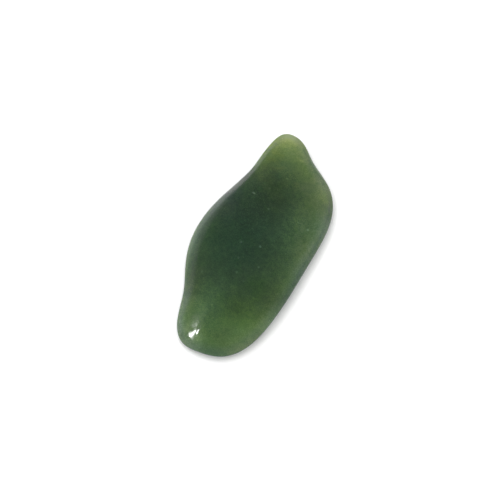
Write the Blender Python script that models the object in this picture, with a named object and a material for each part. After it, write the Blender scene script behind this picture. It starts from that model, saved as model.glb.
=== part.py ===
"""A polished free-form pebble of green nephrite jade, one solid piece.

It was sawn from a slab, ground on a wheel and tumbled: a low crowned top, a steep flank along one long side,
a thin shoulder along the other, a narrow tip, a broad foot and a flat ground base.

Metres, +Z up. The base lies on Z = 0 with the origin under the middle of the stone's box. The long axis
runs along Y with the tip at +Y, and the steep flank is on the -X side.
"""

import math
from typing import NamedTuple

import bmesh
import bpy
import numpy as np
from mathutils import Vector


class GroundFace(NamedTuple):
    """A face ground on the top. Millimetres and degrees."""

    point: tuple  # the middle of its round
    looks: float  # the way it looks, from +X towards +Y
    lean: float  # from level
    softness: float  # how far above and below its neighbour it still runs into it


MM = 0.001

# ---- Driving dimensions, in millimetres ----
LENGTH = 38.7
WIDTH = 18.6
CROWN_HEIGHT = 5.1  # before the faces are ground, which leave the stone 4.8 high

# The widest section seen from above, clockwise from the tip, as shares of WIDTH and LENGTH from the middle
OUTLINE = (
    (-0.159, 0.500),  # tip
    (-0.023, 0.472),
    (0.126, 0.413),  # slight hollow beside the tip
    (0.319, 0.361),
    (0.454, 0.275),  # shoulder
    (0.499, 0.156),
    (0.494, 0.027),
    (0.484, -0.105),
    (0.458, -0.240),
    (0.390, -0.372),
    (0.237, -0.466),
    (0.031, -0.497),  # foot
    (-0.137, -0.491),
    (-0.255, -0.422),
    (-0.326, -0.310),
    (-0.431, -0.204),
    (-0.496, -0.093),
    (-0.483, 0.030),  # belly of the sawn flank
    (-0.408, 0.146),
    (-0.340, 0.257),
    (-0.325, 0.337),  # notch below the tip
    (-0.310, 0.420),
    (-0.266, 0.484),
)

# The crown: where it is highest, and how it curves across and along
CROWN_PEAK = (-2.4, 1.9)
CROWN_RADIUS_ACROSS = 34.0
CROWN_RADIUS_ALONG = 100.0

GROUND_FACES = {
    "shoulder": GroundFace((5.7, 1.9, 3.85), looks=4.0, lean=21.0, softness=0.5),
    "neck slope": GroundFace((3.1, 12.4, 3.25), looks=38.0, lean=18.0, softness=0.7),
    "tip slope": GroundFace((-1.4, 13.4, 3.5), looks=90.0, lean=18.0, softness=0.7),
    "notch slope": GroundFace((-4.9, 8.9, 3.85), looks=135.0, lean=23.0, softness=0.7),
    "foot corner": GroundFace((-1.5, -17.0, 2.12), looks=-134.0, lean=18.5, softness=0.04),
    "foot slope": GroundFace((0.1, -10.1, 3.65), looks=-88.0, lean=8.5, softness=1.0),
    "foot shoulder": GroundFace((4.8, -11.7, 2.9), looks=-48.0, lean=13.0, softness=0.6),
}
FACE_RADIUS = 150.0  # every ground face is very slightly round

# The rim is the stone's widest section. It lies this share of the way up the stone's edge
FLANK_RIM_SHARE = 0.5
EDGE_RIM_SHARE = 0.82

# How far in from the rim the top has rolled level
FLANK_ROLL = 2.3
EDGE_ROLL = 0.9
BASE_ROLL = 2.2  # the same underneath
ROLL_POWER = 1.5  # 2 would be a round edge, 1 a flat chamfer

# The flank fades into the rest of the edge towards the stone's ends
FLANK_MIDDLE = -4.4
FLANK_HALF_LENGTH = 18.0

BASE_CUT = 0.35  # how deep the flat base is ground into the rolled underside

CUBE_CUTS = 29  # grid lines across each side of the cube that becomes the stone; odd, so one is at the rim

JADE_GREEN = (0.035, 0.085, 0.045, 1.0)
JADE_ROUGHNESS = 0.18


def loop_hull(points):
    """The control points of the closed cubic B-spline that passes through these points."""
    one = np.eye(len(points))
    weights = (4 * one + np.roll(one, 1, axis=0) + np.roll(one, -1, axis=0)) / 6
    return np.linalg.solve(weights, np.asarray(points, float))


def rim_point(hull, turn):
    """The rim's point and outward normal in a direction seen from above."""
    place = (0.25 - turn / math.tau) % 1 * len(hull)  # a quarter turn is a quarter of the outline's points
    start = int(place)
    t = place - start
    near = hull[np.arange(start - 1, start + 3) % len(hull)] * (WIDTH, LENGTH)
    blend = ((1 - t) ** 3, 3 * t**3 - 6 * t**2 + 4, -3 * t**3 + 3 * t**2 + 3 * t + 1, t**3)
    slope = (-((1 - t) ** 2), 3 * t**2 - 4 * t, -3 * t**2 + 2 * t + 1, t**2)
    point = np.dot(blend, near) / 6
    along = np.dot(slope, near)
    outward = np.array((-along[1], along[0])) / math.hypot(*along)
    return point, outward


def soft_lower(a, b, softness):
    """The lower of two heights, rounded off where they are within softness of each other."""
    overlap = max(softness - abs(a - b), 0.0) / softness
    return min(a, b) - overlap**2 * softness / 4


def ground_top(x, y):
    """Height of the crown and the ground faces over a point of the plan."""
    height = CROWN_HEIGHT
    height -= (x - CROWN_PEAK[0]) ** 2 / (2 * CROWN_RADIUS_ACROSS)
    height -= (y - CROWN_PEAK[1]) ** 2 / (2 * CROWN_RADIUS_ALONG)
    for face in GROUND_FACES.values():
        px, py, pz = face.point
        looks = math.radians(face.looks)
        downhill = (x - px) * math.cos(looks) + (y - py) * math.sin(looks)
        bulge = ((x - px) ** 2 + (y - py) ** 2) / (2 * FACE_RADIUS)
        ground = pz - math.tan(math.radians(face.lean)) * downhill - bulge
        height = soft_lower(height, ground, face.softness)
    return height


def edge_value(rim, outward, flank, elsewhere):
    """A value that goes from the flank's to that of the rest of the edge as the rim turns and runs on."""
    along = (rim[1] - FLANK_MIDDLE) / FLANK_HALF_LENGTH
    share = max(1 - along**2, 0.0) ** 2 * (1 - outward[0]) / 2
    return elsewhere + (flank - elsewhere) * share


def rolled(inset, width, power):
    """The share of its full height the stone has reached this far in from a rim rolled over this width."""
    return (1 - min(max(1 - inset / width, 0.0), 1.0) ** power) ** (1 / power)


def ring_place(corner):
    """For a corner of the gridded cube, its turn seen from above and its share of the way out to the rim."""
    x, y, z = corner
    across = max(abs(x), abs(y))
    climb = abs(z) + 1 - across  # 0 at the rim, 2 in the middle of the top or of the base
    if across == 0:
        turn = 0.0
    elif abs(x) >= abs(y):
        turn = math.pi / 4 * (y / x) + (math.pi if x < 0 else 0.0)
    else:
        turn = math.pi / 4 * (2 - x / y) + (math.pi if y < 0 else 0.0)
    return turn, math.cos(climb * math.pi / 4)


def surface_point(corner, hull):
    """Where a corner of the gridded cube goes on the stone's surface."""
    turn, share = ring_place(corner)
    rim, outward = rim_point(hull, turn)
    x, y = share * rim
    inset = (1 - share) * np.dot(rim, outward)
    level = edge_value(rim, outward, FLANK_RIM_SHARE, EDGE_RIM_SHARE) * ground_top(*rim)
    if corner.z >= 0:
        roll = edge_value(rim, outward, FLANK_ROLL, EDGE_ROLL)
        z = level + (ground_top(x, y) - level) * rolled(inset, roll, ROLL_POWER)
    else:
        z = level - (level + BASE_CUT) * rolled(inset, BASE_ROLL, 2)
    return Vector((x, y, z)) * MM


def shape_stone(bm):
    """Pulls a gridded cube into the stone, its grid in rings along the rim, and grinds the base flat."""
    bmesh.ops.create_cube(bm, size=2.0)
    bmesh.ops.subdivide_edges(bm, edges=bm.edges[:], cuts=CUBE_CUTS, use_grid_fill=True)
    hull = loop_hull(OUTLINE)
    for corner in bm.verts:
        corner.co = surface_point(corner.co, hull)
    everything = bm.verts[:] + bm.edges[:] + bm.faces[:]
    cut = bmesh.ops.bisect_plane(
        bm, geom=everything, plane_co=(0, 0, 0), plane_no=(0, 0, -1), clear_outer=True
    )
    edges = [part for part in cut["geom_cut"] if isinstance(part, bmesh.types.BMEdge)]
    bmesh.ops.edgeloop_fill(bm, edges=edges)
    bmesh.ops.recalc_face_normals(bm, faces=bm.faces[:])


def jade():
    material = bpy.data.materials.new("polished_jade")
    material.use_nodes = True
    surface = material.node_tree.nodes["Principled BSDF"]
    surface.inputs["Base Color"].default_value = JADE_GREEN
    surface.inputs["Roughness"].default_value = JADE_ROUGHNESS
    surface.inputs["Metallic"].default_value = 0.0
    return material


def make_pebble():
    mesh = bpy.data.meshes.new("jade_pebble")
    bm = bmesh.new()
    shape_stone(bm)
    bm.to_mesh(mesh)
    bm.free()
    mesh.shade_smooth()
    mesh.materials.append(jade())
    pebble = bpy.data.objects.new("jade_pebble", mesh)
    bpy.context.scene.collection.objects.link(pebble)
    return pebble


def main():
    for old in list(bpy.data.objects):
        bpy.data.objects.remove(old)
    make_pebble()


main()
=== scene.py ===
"""A polished pebble of green nephrite jade, lying on a white table in soft light.

The solid's skin is refined into a smooth hand-ground surface. How much light comes through the stone at each
point is worked out from its shape, and colours it: dark bottle green where it is thick, honey green where it
is thin. Clouds, soft patches, flecks and specks lie over that, and so do painted sheen and reflections along
the rim, the flanks and round the foot's highlight, and painted shade at the notch edge.
"""

import math
import statistics
from typing import NamedTuple

import bmesh
import bpy
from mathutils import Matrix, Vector
from mathutils.bvhtree import BVHTree
from mathutils.kdtree import KDTree


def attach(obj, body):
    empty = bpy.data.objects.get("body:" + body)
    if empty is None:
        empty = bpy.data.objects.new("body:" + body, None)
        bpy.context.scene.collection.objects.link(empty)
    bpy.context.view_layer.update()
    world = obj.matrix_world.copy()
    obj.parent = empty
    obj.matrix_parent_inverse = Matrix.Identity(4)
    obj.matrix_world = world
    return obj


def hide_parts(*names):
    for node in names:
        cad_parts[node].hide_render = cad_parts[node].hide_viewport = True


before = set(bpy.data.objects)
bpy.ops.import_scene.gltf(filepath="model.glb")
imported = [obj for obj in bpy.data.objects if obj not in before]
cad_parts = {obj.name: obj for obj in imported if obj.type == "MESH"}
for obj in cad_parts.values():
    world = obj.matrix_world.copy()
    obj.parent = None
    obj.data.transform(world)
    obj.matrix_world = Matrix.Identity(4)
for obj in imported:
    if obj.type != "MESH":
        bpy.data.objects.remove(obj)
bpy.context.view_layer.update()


class Zone(NamedTuple):
    """A soft-edged patch of the stone, seen from above. Millimetres."""

    middle: tuple
    reach: tuple
    tint: tuple = (1.0, 1.0, 1.0)  # what the stone's colour is multiplied by in its middle
    core: float = 0.0  # the share of its reach over which it is full


class Cloud(NamedTuple):
    """One size of the cloudiness just under the polish."""

    size: float  # metres
    depth: float  # how much more or less light comes through, as a share
    detail: float


class Lamp(NamedTuple):
    """An oval lamp. Degrees, metres and watts."""

    turn: float
    rise: float
    reach: float  # how far it is from the place that it shines on
    width: float
    height: float
    power: float
    place: tuple = (0.0, 0.0, 0.0)  # what it shines on
    mirrored: bool = True  # the polish shows its reflection


MM = 0.001
STONE = "jade_pebble"

# ---- The camera ----
CAMERA_TURN = 28.6  # degrees
CAMERA_RISE = 75.0  # degrees
CAMERA_REACH = 160 * MM
CAMERA_AIM = (0.02 * MM, -1.46 * MM, 2.5 * MM)
FRAME_WIDTH = 78 * MM  # what the frame takes in across, at the distance of the stone
SENSOR = 36.0
NEAREST_SEEN = 1 * MM

# ---- The refined skin ----
WELD = 0.05 * MM  # the solid's vertices nearer to each other than this become one
QUAD_ANGLE = math.radians(60)  # how bent or skewed a quad made of two triangles may be
SKIN_LEVELS = 2
SMOOTHING_ROUNDS = 10  # how often each point of the skin moves towards the middle of its neighbours
WAVE_SIZE = 5.0 * MM
WAVE_DEPTH = 0.03 * MM
WAVE_DETAIL = 1.0
RIPPLE_SIZE = 0.9 * MM
RIPPLE_DEPTH = 0.0035 * MM
RIPPLE_DETAIL = 2.0
RELIEF_ROUGHNESS = 0.4

# ---- Light through the stone ----
LIGHT_DEPTH = 2.6 * MM  # how much stone dims the light to 37%
LIGHT_RAYS = 64
RAY_START = 0.01 * MM  # how far under the skin they start
GLOW = "glow"

# ---- The rim ----
INSET = "inset"
RIM_LEAN = 0.3  # a vertex belongs to the rim where its normal rises or falls less than this

# ---- The jade ----
PALER_TOWARDS = Vector((0.037, 0.013, 0.0)) / MM  # the way the slab grows paler, as a natural logarithm
GLOW_COLORS = (  # from where no light comes through to where the stone is thinnest
    (0.04, (0.008, 0.021, 0.011)),
    (0.08, (0.0128, 0.0338, 0.0155)),
    (0.12, (0.0225, 0.0523, 0.021)),
    (0.16, (0.0336, 0.0714, 0.025)),
    (0.20, (0.045, 0.090, 0.029)),
    (0.25, (0.0605, 0.114, 0.035)),
    (0.30, (0.080, 0.138, 0.047)),
    (0.40, (0.122, 0.185, 0.061)),
    (0.50, (0.167, 0.232, 0.074)),
)
CLOUDS = {
    "cloud": Cloud(size=2.4 * MM, depth=0.04, detail=3.0),
    "wisp": Cloud(size=0.6 * MM, depth=0.055, detail=3.0),
    "grain": Cloud(size=0.16 * MM, depth=0.115, detail=1.0),
}
CLOUD_ROUGHNESS = 0.6
NOISE_SPREAD = (0.3, 0.7)  # soft noise mostly keeps between these
SURFACE_GLOW = 0.12  # light added for the clouds alone, so that they show where none comes through
EDGE_SHEEN_TINT = (0.80, 0.80, 1.35)  # painted sheen that makes the rounded edge bluish grey
EDGE_LEANS = (0.93, 0.45)  # how far up the surface faces where the edge's painted sheen starts, and where it is full
UNDER_LEANS = (-0.3, 0.2)  # how far up it faces where that painted sheen ends underneath, and where it is full again
RIM_SHEEN_TINT = (0.92, 0.90, 1.32)  # painted sheen: the bluer band inside the rim
RIM_BAND = (0.4 * MM, 2.0 * MM)  # how far in from the rim the band starts to fade, and where it ends
SAWN_FLANK = Zone((-8.5, 3.0), (7.0, 20.0), core=0.6)  # freshly sawn, where the painted sheen of the edge and of the rim band is left off
RIM_ZONES = {  # tints of the band inside the rim alone: painted reflections along the sawn edge, painted shade at the notch edge and a paler lower edge
    # painted reflection, grey, on the sawn edge
    "painted reflection on sawn edge": Zone((-9.4, 2.8), (3.5, 5.5), (1.70, 1.48, 2.30)),
    # painted reflection, paler, on the lower sawn edge
    "pale painted reflection on sawn edge": Zone((-9.2, -4.8), (4.5, 6.0), (1.75, 1.50, 2.40)),
    # painted shade, darker and greener, on the notch edge
    "painted shade on notch edge": Zone((-7.0, 8.4), (3.6, 4.8), (0.08, 0.34, 0.06)),
    "pale lower edge": Zone((-5.8, -13.0), (4.5, 7.0), (1.18, 1.20, 1.16)),
}
ZONES = {
    "teal core": Zone((-2.2, -1.6), (7.4, 7.0), (0.78, 1.0, 1.0)),
    "dark lower side": Zone((6.6, -7.0), (2.6, 5.4), (0.82, 0.78, 0.84)),
    "olive spot": Zone((3.8, -6.4), (2.8, 3.0), (0.80, 0.92, 0.70)),
    "pale foot side": Zone((-1.0, -12.4), (5.2, 7.5), (1.44, 1.42, 1.38)),
    "pale foot middle": Zone((4.6, -12.6), (3.4, 3.6), (1.20, 1.22, 1.29)),
    "pale foot corner": Zone((-4.8, -14.4), (2.8, 5.0), (1.24, 1.16, 1.24)),
    # painted sheen round the highlight on the foot's ground corner
    "painted sheen on foot corner": Zone((-3.9, -16.2), (4.1, 4.8), (1.12, 1.08, 1.14), core=0.85),
    # painted sheen, grey, at the foot corner's edge below the highlight
    "painted sheen at foot corner edge": Zone((-0.9, -17.9), (2.6, 1.9), (1.32, 1.22, 1.44), core=0.4),
    # painted sheen, grey, beside the highlight
    "painted sheen at foot corner side": Zone((-3.2, -16.9), (1.4, 1.6), (1.42, 1.30, 1.52), core=0.3),
    # painted reflection, grey, on the lower flank
    "painted reflection on lower flank": Zone((-5.2, -11.2), (2.8, 5.4), (1.20, 0.97, 1.14)),
    "dim lower belly": Zone((-6.4, -7.2), (1.8, 3.6), (0.78, 0.80, 0.88)),
    "pale inner side": Zone((3.9, 4.0), (3.6, 6.2), (1.44, 1.40, 1.42)),
    "cloud over the core": Zone((0.2, 1.6), (2.8, 2.8), (1.16, 1.16, 1.18)),
    # painted sheen, bluish grey, along the right side
    "painted sheen on right side": Zone((7.4, -0.2), (2.6, 5.6), (1.24, 1.14, 1.45)),
    "warm right side": Zone((6.9, 2.2), (2.4, 3.6), (1.24, 1.11, 1.16)),
    "pale lower side": Zone((8.4, -10.4), (2.0, 4.5), (1.32, 1.32, 1.28)),
    "dark foot end": Zone((3.2, -18.8), (4.5, 3.2), (0.66, 0.80, 0.79)),
    "honey neck": Zone((0.4, 13.0), (4.4, 4.4), (1.60, 1.33, 1.34)),
    "brown upper side": Zone((-0.8, 8.4), (4.2, 5.0), (1.12, 1.0, 0.78)),
    "warm notch": Zone((-4.0, 10.8), (2.8, 4.8), (1.24, 1.03, 0.86)),
    "warm shoulder": Zone((4.2, 9.0), (5.0, 7.5), (1.22, 1.06, 1.10)),
    # painted sheen, bluish grey, on the right shoulder
    "painted sheen on shoulder": Zone((7.4, 7.2), (3.4, 5.5), (1.0, 1.0, 1.42)),
    "dim shoulder end": Zone((7.8, 10.0), (2.6, 4.0), (0.78, 0.78, 0.82)),
    # painted sheen, bluish grey, on the neck's right side
    "painted sheen on neck side": Zone((4.2, 12.2), (3.1, 3.2), (1.22, 1.09, 1.42)),
    "honey tip": Zone((-2.8, 17.0), (4.4, 5.0), (1.34, 1.19, 1.12)),
    "yellow tip side": Zone((-4.2, 14.6), (2.8, 3.6), (1.0, 0.98, 0.76)),
    "pale tip end": Zone((-3.7, 19.2), (2.7, 2.4), (1.38, 1.33, 1.52)),
    # painted reflection, grey, on the upper flank
    "painted reflection on upper flank": Zone((-6.8, 2.2), (3.8, 3.8), (1.20, 0.98, 1.26)),
    "dim notch slope": Zone((-6.4, 4.7), (2.4, 3.4), (0.78, 0.75, 1.12)),
    "yellow foot": Zone((3.2, -10.8), (5.0, 4.6), (1.0, 1.0, 0.70)),
}
ZONE_BREAK_SIZE = 2.0 * MM
ZONE_BREAK_DETAIL = 3.0
ZONE_BREAK = 0.35  # how ragged the zones' edges are, as a share of their reach
FLECKS = {  # pale grains just under the polish
    "brightest fleck": Zone((-3.6, 6.4), (0.38, 0.22), (3.4, 2.4, 3.2), core=0.4),
    "right fleck": Zone((6.5, 5.5), (0.26, 0.26), (2.0, 1.8, 2.2), core=0.4),
    "shoulder fleck": Zone((4.7, 5.7), (0.24, 0.20), (1.5, 1.4, 1.5), core=0.4),
    "core fleck": Zone((1.4, -0.7), (0.28, 0.24), (2.8, 2.2, 2.8), core=0.4),
    "middle fleck": Zone((-0.3, 5.2), (0.26, 0.22), (2.2, 1.7, 2.1), core=0.4),
    "teal fleck": Zone((-1.5, -1.5), (0.24, 0.24), (2.2, 1.6, 2.2), core=0.4),
    "low core fleck": Zone((-0.7, -3.8), (0.24, 0.24), (2.0, 1.5, 1.9), core=0.4),
    "side fleck": Zone((2.7, -3.6), (0.26, 0.22), (2.0, 1.6, 2.0), core=0.4),
    "lower fleck": Zone((0.1, -5.9), (0.26, 0.26), (2.0, 1.6, 1.9), core=0.4),
    "lowest fleck": Zone((1.7, -6.6), (0.24, 0.24), (1.8, 1.5, 1.7), core=0.4),
    "flank fleck": Zone((-4.8, -8.2), (0.24, 0.26), (1.6, 1.5, 1.6), core=0.4),
    "foot fleck": Zone((-0.9, -12.0), (0.28, 0.28), (1.35, 1.25, 1.3), core=0.4),
    "upper fleck": Zone((-1.8, 8.3), (0.24, 0.24), (1.9, 1.5, 1.7), core=0.4),
    "neck fleck": Zone((-0.2, 11.2), (0.26, 0.22), (1.5, 1.4, 1.5), core=0.4),
}
SPECK_SPACING = 0.62 * MM
SPECK_RADIUS = 0.10 * MM
SPECK_TINT = (1.8, 1.5, 1.8)
POLISH = (0.035, 0.10)  # roughness, from the best polished places to the dullest
POLISH_SIZE = 1.8 * MM
POLISH_DETAIL = 3.0
POLISH_SPREAD = (0.35, 0.7)  # the noise at which the polish is best, and where it is dullest
PIT_SIZE = 0.16 * MM
PIT_DEPTH = 0.0008 * MM
PIT_DETAIL = 2.0
JADE_IOR = 1.62
SCATTER_SHARE = 0.4  # how much of the light goes into the stone before it comes back out
SCATTER_REACH = (0.6, 1.0, 0.45)  # how far red, green and blue light go in it, as shares of SCATTER_DEPTH
SCATTER_DEPTH = 1.0 * MM

# ---- The table ----
TABLE_SIZE = 3.0
PAPER_WHITE = 0.94
PAPER_ROUGHNESS = 0.9
PAPER_GLOSS = 0.1

# ---- The room that the polish mirrors, in degrees and brightness ----
BRIGHT_SIDE = 290
SIDE_FALLOFF = 2.0
LOW_LIGHT = (0.15, 0.70)  # near the horizon, from the dim side to the bright one
HIGH_LIGHT = 0.20
FADE_HEIGHTS = (0.2, 0.75)  # from where to where the low light fades into the high one, 1 being overhead
PATCH_TURN = 307
PATCH_RISE = 62
PATCH_RADIUS = 10
PATCH_LIGHT = 0.12

# ---- The lamps ----
SHINE = (-1.2 * MM, -17.2 * MM, 2.2 * MM)  # the place on the foot's corner that mirrors the window
LAMPS = {
    "key_softbox": Lamp(
        turn=236, rise=58, reach=0.6, width=0.45, height=0.45, power=1.25, mirrored=False
    ),
    "overhead_panel": Lamp(
        turn=0, rise=89, reach=0.7, width=1.0, height=1.0, power=5.3, mirrored=False
    ),
    "side_window": Lamp(
        turn=304.2, rise=58.6, reach=0.5, width=0.0144, height=0.040, power=0.058, place=SHINE
    ),
    "side_window_top": Lamp(
        turn=307.3, rise=63.0, reach=0.5, width=0.013, height=0.013, power=0.017, place=SHINE
    ),
}


def tree_node(tree, kind, **settings):
    """A new node in a node tree. Inputs are set by name or number, the node's own properties by keyword."""
    inputs = settings.pop("inputs", {})
    node = tree.nodes.new(kind)
    for name, value in settings.items():
        setattr(node, name, value)
    for name, value in inputs.items():
        if isinstance(value, bpy.types.NodeSocket):
            tree.links.new(value, node.inputs[name])
        else:
            node.inputs[name].default_value = value
    return node


def reckon(tree, operation, *values):
    """The result of a Math node."""
    inputs = dict(enumerate(values))
    return tree_node(tree, "ShaderNodeMath", operation=operation, inputs=inputs).outputs["Value"]


def reckon_vector(tree, operation, *values):
    """The outputs of a Vector Math node: its Vector, or its Value for a dot product or a length."""
    inputs = dict(enumerate(values))
    return tree_node(tree, "ShaderNodeVectorMath", operation=operation, inputs=inputs).outputs


def ranged(tree, value, old, new, kind="SMOOTHSTEP"):
    """The value, with its old range carried over to a new one."""
    return tree_node(
        tree,
        "ShaderNodeMapRange",
        interpolation_type=kind,
        inputs={"Value": value, "From Min": old[0], "From Max": old[1], "To Min": new[0], "To Max": new[1]},
    ).outputs["Result"]


def noise(tree, place, size, detail, roughness=0.5):
    """Soft noise with features of this size, from 0 to 1 and mostly near 0.5."""
    return tree_node(
        tree,
        "ShaderNodeTexNoise",
        inputs={"Vector": place, "Scale": 1 / size, "Detail": detail, "Roughness": roughness},
    ).outputs["Fac"]


def stone_skin():
    """The solid's own faces, welded into one closed skin, most of it quads."""
    bm = bmesh.new()
    bm.from_mesh(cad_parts[STONE].data)
    bmesh.ops.remove_doubles(bm, verts=bm.verts[:], dist=WELD)
    bmesh.ops.join_triangles(
        bm, faces=bm.faces[:], angle_face_threshold=QUAD_ANGLE, angle_shape_threshold=QUAD_ANGLE
    )
    bmesh.ops.recalc_face_normals(bm, faces=bm.faces[:])
    return bm


def inward_fan(count):
    """Directions spread over a half ball about +Z, more of them near its pole."""
    golden = math.pi * (3 - math.sqrt(5))
    fan = []
    for step in range(count):
        out = math.sqrt((step + 0.5) / count)
        turn = golden * step
        fan.append(Vector((out * math.cos(turn), out * math.sin(turn), math.sqrt(1 - out * out))))
    return fan


def light_through(bm):
    """For each vertex, the share of light that reaches it through the stone from all round."""
    tree = BVHTree.FromBMesh(bm)
    fan = inward_fan(LIGHT_RAYS)
    bm.normal_update()
    shares = []
    for vert in bm.verts:
        inward = -vert.normal
        turn = inward.to_track_quat("Z", "X")
        start = vert.co + inward * RAY_START
        total = 0.0
        for ray in fan:
            hit = tree.ray_cast(start, turn @ ray)
            if hit[0] is not None:
                total += math.exp(-hit[3] / LIGHT_DEPTH)
        shares.append(total / len(fan))
    return shares


def without_strays(bm, values):
    """The vertices' values, each replaced by the middle one of its own and its neighbours'."""
    bm.verts.index_update()
    middle = []
    for vert in bm.verts:
        near = [values[edge.other_vert(vert).index] for edge in vert.link_edges]
        middle.append(statistics.median([values[vert.index], *near]))
    return middle


def rim_insets(bm):
    """For each vertex, how far it lies from the stone's rim, seen from above."""
    rim = [vert.co for vert in bm.verts if abs(vert.normal.z) < RIM_LEAN]
    nearest = KDTree(len(rim))
    for number, place in enumerate(rim):
        nearest.insert((place.x, place.y, 0), number)
    nearest.balance()
    return [nearest.find((vert.co.x, vert.co.y, 0))[2] for vert in bm.verts]


def skin_tree():
    """Refines and smooths the skin, then gives it the waves of grinding and the fine ripple of polish."""
    tree = bpy.data.node_groups.new("polished_skin", "GeometryNodeTree")
    sockets = tree.interface
    sockets.new_socket("Skin", in_out="INPUT", socket_type="NodeSocketGeometry")
    for name, kind, value in (
        ("Wave size", "NodeSocketFloat", WAVE_SIZE),
        ("Wave depth", "NodeSocketFloat", WAVE_DEPTH),
        ("Ripple size", "NodeSocketFloat", RIPPLE_SIZE),
        ("Ripple depth", "NodeSocketFloat", RIPPLE_DEPTH),
        ("Levels", "NodeSocketInt", SKIN_LEVELS),
        ("Smoothing rounds", "NodeSocketInt", SMOOTHING_ROUNDS),
    ):
        sockets.new_socket(name, in_out="INPUT", socket_type=kind).default_value = value
    sockets.new_socket("Finish", in_out="INPUT", socket_type="NodeSocketMaterial")
    sockets.new_socket("Skin", in_out="OUTPUT", socket_type="NodeSocketGeometry")
    given = tree_node(tree, "NodeGroupInput").outputs

    def relief(size, depth, detail):
        scale = reckon(tree, "DIVIDE", 1.0, size)
        bumps = tree_node(
            tree,
            "ShaderNodeTexNoise",
            inputs={"Scale": scale, "Detail": detail, "Roughness": RELIEF_ROUGHNESS},
        ).outputs["Fac"]
        return reckon(tree, "MULTIPLY", reckon(tree, "SUBTRACT", bumps, 1.0), depth)

    refined = tree_node(
        tree, "GeometryNodeSubdivisionSurface", inputs={"Mesh": given["Skin"], "Level": given["Levels"]}
    ).outputs["Mesh"]
    place = tree_node(tree, "GeometryNodeInputPosition").outputs["Position"]
    even_place = tree_node(
        tree,
        "GeometryNodeBlurAttribute",
        data_type="FLOAT_VECTOR",
        inputs={"Value": place, "Iterations": given["Smoothing rounds"]},
    ).outputs["Value"]
    even = tree_node(
        tree, "GeometryNodeSetPosition", inputs={"Geometry": refined, "Position": even_place}
    ).outputs["Geometry"]
    waves = relief(given["Wave size"], given["Wave depth"], WAVE_DETAIL)
    ripple = relief(given["Ripple size"], given["Ripple depth"], RIPPLE_DETAIL)
    normal = tree_node(tree, "GeometryNodeInputNormal").outputs["Normal"]
    push = tree_node(
        tree,
        "ShaderNodeVectorMath",
        operation="SCALE",
        inputs={"Vector": normal, "Scale": reckon(tree, "ADD", waves, ripple)},
    ).outputs["Vector"]
    ground = tree_node(
        tree, "GeometryNodeSetPosition", inputs={"Geometry": even, "Offset": push}
    ).outputs["Geometry"]
    shaded = tree_node(tree, "GeometryNodeSetShadeSmooth", inputs={"Geometry": ground}).outputs["Geometry"]
    real = tree_node(tree, "GeometryNodeRealizeInstances", inputs={"Geometry": shaded}).outputs["Geometry"]
    finished = tree_node(
        tree, "GeometryNodeSetMaterial", inputs={"Geometry": real, "Material": given["Finish"]}
    ).outputs["Geometry"]
    tree_node(tree, "NodeGroupOutput", inputs={"Skin": finished})
    return tree


def polished(piece, finish):
    """Runs the skin tree on a piece and leaves its result as a plain mesh."""
    modifier = piece.modifiers.new("polished_skin", "NODES")
    modifier.node_group = skin_tree()
    for socket in modifier.node_group.interface.items_tree:
        if socket.in_out == "INPUT" and socket.name == "Finish":
            modifier[socket.identifier] = finish
    bpy.context.view_layer.update()
    evaluated = piece.evaluated_get(bpy.context.evaluated_depsgraph_get())
    mesh = bpy.data.meshes.new_from_object(evaluated)
    piece.modifiers.remove(modifier)
    piece.data = mesh
    mesh.name = piece.name


def tinted(tree, color, tint, share):
    """The colour multiplied by the tint, to this share."""
    # 6 and 7 are the two colours that a Mix node takes, and 2 is the one that it gives
    return tree_node(
        tree,
        "ShaderNodeMix",
        data_type="RGBA",
        blend_type="MULTIPLY",
        inputs={0: share, 6: color, 7: (*tint, 1.0)},
    ).outputs[2]


def zone_share(tree, place, zone, ragged):
    """How far a place is inside a zone: 1 in its core, 0 outside."""
    middle = Vector((*zone.middle, 0.0)) * MM
    spread = Vector((1 / zone.reach[0], 1 / zone.reach[1], 0.0)) / MM
    offset = reckon_vector(tree, "SUBTRACT", place, middle)["Vector"]
    shares = reckon_vector(tree, "MULTIPLY", offset, spread)["Vector"]
    out = reckon_vector(tree, "LENGTH", shares)["Value"]
    return ranged(tree, reckon(tree, "ADD", out, ragged), (zone.core, 1.0), (1.0, 0.0))


def light_color(tree, place):
    """The colour that the light coming through the stone gives it."""
    glow = tree_node(tree, "ShaderNodeAttribute", attribute_name=GLOW).outputs["Fac"]
    drift = reckon_vector(tree, "DOT_PRODUCT", place, PALER_TOWARDS)["Value"]
    depth = reckon(tree, "MULTIPLY", glow, reckon(tree, "EXPONENT", drift))
    for cloud in CLOUDS.values():
        murk = noise(tree, place, cloud.size, cloud.detail, CLOUD_ROUGHNESS)
        passed = ranged(tree, murk, NOISE_SPREAD, (1 - cloud.depth, 1 + cloud.depth), "LINEAR")
        depth = reckon(tree, "MULTIPLY_ADD", reckon(tree, "ADD", depth, SURFACE_GLOW), passed, -SURFACE_GLOW)
    ramp = tree_node(tree, "ShaderNodeValToRGB", inputs={"Fac": depth})
    stops = ramp.color_ramp.elements
    while len(stops) < len(GLOW_COLORS):
        stops.new(1.0)
    for stop, (position, color) in zip(stops, GLOW_COLORS):
        stop.position = position
        stop.color = (*color, 1.0)
    return ramp.outputs["Color"]


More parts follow.
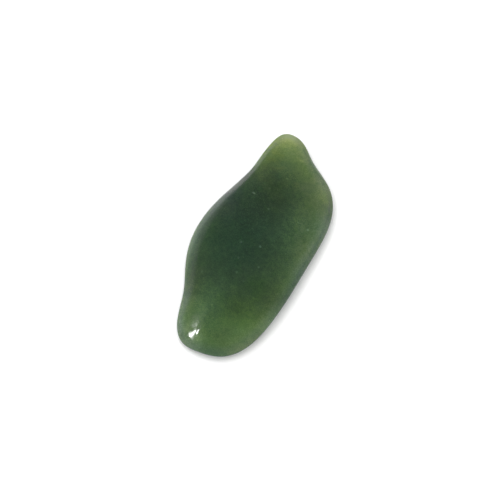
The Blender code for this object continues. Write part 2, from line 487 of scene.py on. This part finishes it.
def stone_color(tree, place, normal):
    """The light's colour, tinted by the stone's zones (some of them painted sheen, reflection and shade),
    flecks and specks, and by painted sheen on its edge.
    """
    color = light_color(tree, place)
    murk = noise(tree, place, ZONE_BREAK_SIZE, ZONE_BREAK_DETAIL, CLOUD_ROUGHNESS)
    ragged = ranged(tree, murk, NOISE_SPREAD, (-ZONE_BREAK / 2, ZONE_BREAK / 2), "LINEAR")
    for zone in ZONES.values():
        color = tinted(tree, color, zone.tint, zone_share(tree, place, zone, ragged))
    for fleck in FLECKS.values():
        color = tinted(tree, color, fleck.tint, zone_share(tree, place, fleck, 0.0))
    distance = tree_node(
        tree, "ShaderNodeTexVoronoi", inputs={"Vector": place, "Scale": 1 / SPECK_SPACING}
    ).outputs["Distance"]
    speck = ranged(tree, distance, (0.0, SPECK_RADIUS / SPECK_SPACING), (1.0, 0.0))
    color = tinted(tree, color, SPECK_TINT, speck)

    inset = tree_node(tree, "ShaderNodeAttribute", attribute_name=INSET).outputs["Fac"]
    band = ranged(tree, inset, RIM_BAND, (1.0, 0.0))
    for zone in RIM_ZONES.values():
        share = zone_share(tree, place, zone, 0.0)
        color = tinted(tree, color, zone.tint, reckon(tree, "MULTIPLY", share, band))
    # the painted sheen of the edge and of the band inside the rim, left off the sawn flank
    facing_up = tree_node(tree, "ShaderNodeSeparateXYZ", inputs={"Vector": normal}).outputs["Z"]
    edge = reckon(
        tree,
        "MULTIPLY",
        ranged(tree, facing_up, EDGE_LEANS, (0.0, 1.0)),
        ranged(tree, facing_up, UNDER_LEANS, (0.0, 1.0)),
    )
    sheen_share = reckon(tree, "SUBTRACT", 1.0, zone_share(tree, place, SAWN_FLANK, ragged))
    for tint, share in ((RIM_SHEEN_TINT, band), (EDGE_SHEEN_TINT, edge)):
        color = tinted(tree, color, tint, reckon(tree, "MULTIPLY", share, sheen_share))
    return color


def jade_finish():
    """Polished nephrite: its colour, an uneven polish, faint pits and a little light scattered inside."""
    finish = bpy.data.materials.new("polished_nephrite")
    finish.use_nodes = True
    tree = finish.node_tree
    surface = tree.nodes["Principled BSDF"]
    where = tree_node(tree, "ShaderNodeTexCoord").outputs
    place = where["Object"]
    tree.links.new(stone_color(tree, place, where["Normal"]), surface.inputs["Base Color"])
    dullness = ranged(tree, noise(tree, place, POLISH_SIZE, POLISH_DETAIL), POLISH_SPREAD, POLISH)
    tree.links.new(dullness, surface.inputs["Roughness"])
    pits = tree_node(
        tree,
        "ShaderNodeBump",
        inputs={"Height": noise(tree, place, PIT_SIZE, PIT_DETAIL), "Distance": PIT_DEPTH, "Strength": 1.0},
    )
    tree.links.new(pits.outputs["Normal"], surface.inputs["Normal"])
    surface.inputs["IOR"].default_value = JADE_IOR
    surface.inputs["Subsurface Weight"].default_value = SCATTER_SHARE
    surface.inputs["Subsurface Radius"].default_value = SCATTER_REACH
    surface.inputs["Subsurface Scale"].default_value = SCATTER_DEPTH
    return finish


def make_stone():
    """The visible stone, which stands in for the solid."""
    bm = stone_skin()
    measures = {GLOW: without_strays(bm, light_through(bm)), INSET: rim_insets(bm)}
    mesh = bpy.data.meshes.new("jade_pebble_skin")
    bm.to_mesh(mesh)
    bm.free()
    for name, values in measures.items():
        mesh.attributes.new(name, "FLOAT", "POINT").data.foreach_set("value", values)
    stone = bpy.data.objects.new("jade_pebble_skin", mesh)
    bpy.context.scene.collection.objects.link(stone)
    polished(stone, jade_finish())
    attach(stone, "root")
    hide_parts(STONE)


def make_table():
    """The white table that the stone lies on."""
    mesh = bpy.data.meshes.new("white_table")
    half = TABLE_SIZE / 2
    corners = [(-half, -half, 0), (half, -half, 0), (half, half, 0), (-half, half, 0)]
    mesh.from_pydata(corners, [], [(0, 1, 2, 3)])
    table = bpy.data.objects.new("white_table", mesh)
    bpy.context.scene.collection.objects.link(table)
    white = bpy.data.materials.new("white_paper")
    white.use_nodes = True
    surface = white.node_tree.nodes["Principled BSDF"]
    surface.inputs["Base Color"].default_value = (PAPER_WHITE, PAPER_WHITE, PAPER_WHITE, 1)
    surface.inputs["Roughness"].default_value = PAPER_ROUGHNESS
    surface.inputs["Specular IOR Level"].default_value = PAPER_GLOSS
    mesh.materials.append(white)


def outward(turn, rise):
    """The direction from the stone towards a camera or lamp. A turn of 0 is from -Y, 90 from +X."""
    turn, rise = math.radians(turn), math.radians(rise)
    return Vector((math.sin(turn) * math.cos(rise), -math.cos(turn) * math.cos(rise), math.sin(rise)))


def aim(thing, target):
    """Turns a camera or lamp towards a place."""
    thing.rotation_euler = (Vector(target) - thing.location).to_track_quat("-Z", "Y").to_euler()


def make_lamp(name, lamp):
    light = bpy.data.lights.new(name, "AREA")
    light.shape = "ELLIPSE"
    light.size = lamp.width
    light.size_y = lamp.height
    light.energy = lamp.power
    fitting = bpy.data.objects.new(name, light)
    bpy.context.scene.collection.objects.link(fitting)
    fitting.location = Vector(lamp.place) + outward(lamp.turn, lamp.rise) * lamp.reach
    aim(fitting, lamp.place)
    fitting.visible_glossy = lamp.mirrored


def make_room():
    """A room bright low down on one side and dim overhead, with a soft patch round the side window."""
    world = bpy.data.worlds.new("soft_room")
    bpy.context.scene.world = world
    world.use_nodes = True
    tree = world.node_tree
    way = tree_node(tree, "ShaderNodeTexCoord").outputs["Generated"]

    def toward(turn, rise):
        return reckon_vector(tree, "DOT_PRODUCT", way, outward(turn, rise))["Value"]

    facing = ranged(tree, toward(BRIGHT_SIDE, 0), (-1, 1), (0, 1), "LINEAR")
    side = reckon(tree, "POWER", facing, SIDE_FALLOFF)
    low = ranged(tree, side, (0, 1), LOW_LIGHT, "LINEAR")
    height = tree_node(tree, "ShaderNodeSeparateXYZ", inputs={"Vector": way}).outputs["Z"]
    lift = ranged(tree, height, FADE_HEIGHTS, (0, 1), "LINEAR")
    # 2 and 3 are the two plain values that a Mix node takes, and 0 is the one that it gives
    room = tree_node(tree, "ShaderNodeMix", inputs={0: lift, 2: low, 3: HIGH_LIGHT}).outputs[0]
    patch_edge = math.cos(math.radians(PATCH_RADIUS))
    patch = ranged(tree, toward(PATCH_TURN, PATCH_RISE), (patch_edge, 1), (0, PATCH_LIGHT))
    tree.links.new(reckon(tree, "ADD", room, patch), tree.nodes["Background"].inputs["Color"])


def make_camera():
    data = bpy.data.cameras.new("camera")
    data.sensor_width = SENSOR
    data.lens = SENSOR * CAMERA_REACH / FRAME_WIDTH
    data.clip_start = NEAREST_SEEN
    camera = bpy.data.objects.new("camera", data)
    bpy.context.scene.collection.objects.link(camera)
    camera.location = Vector(CAMERA_AIM) + outward(CAMERA_TURN, CAMERA_RISE) * CAMERA_REACH
    aim(camera, CAMERA_AIM)
    bpy.context.scene.camera = camera


bpy.context.scene.view_settings.view_transform = "Standard"
make_camera()
make_room()
make_table()
for lamp_name, lamp in LAMPS.items():
    make_lamp(lamp_name, lamp)
make_stone()
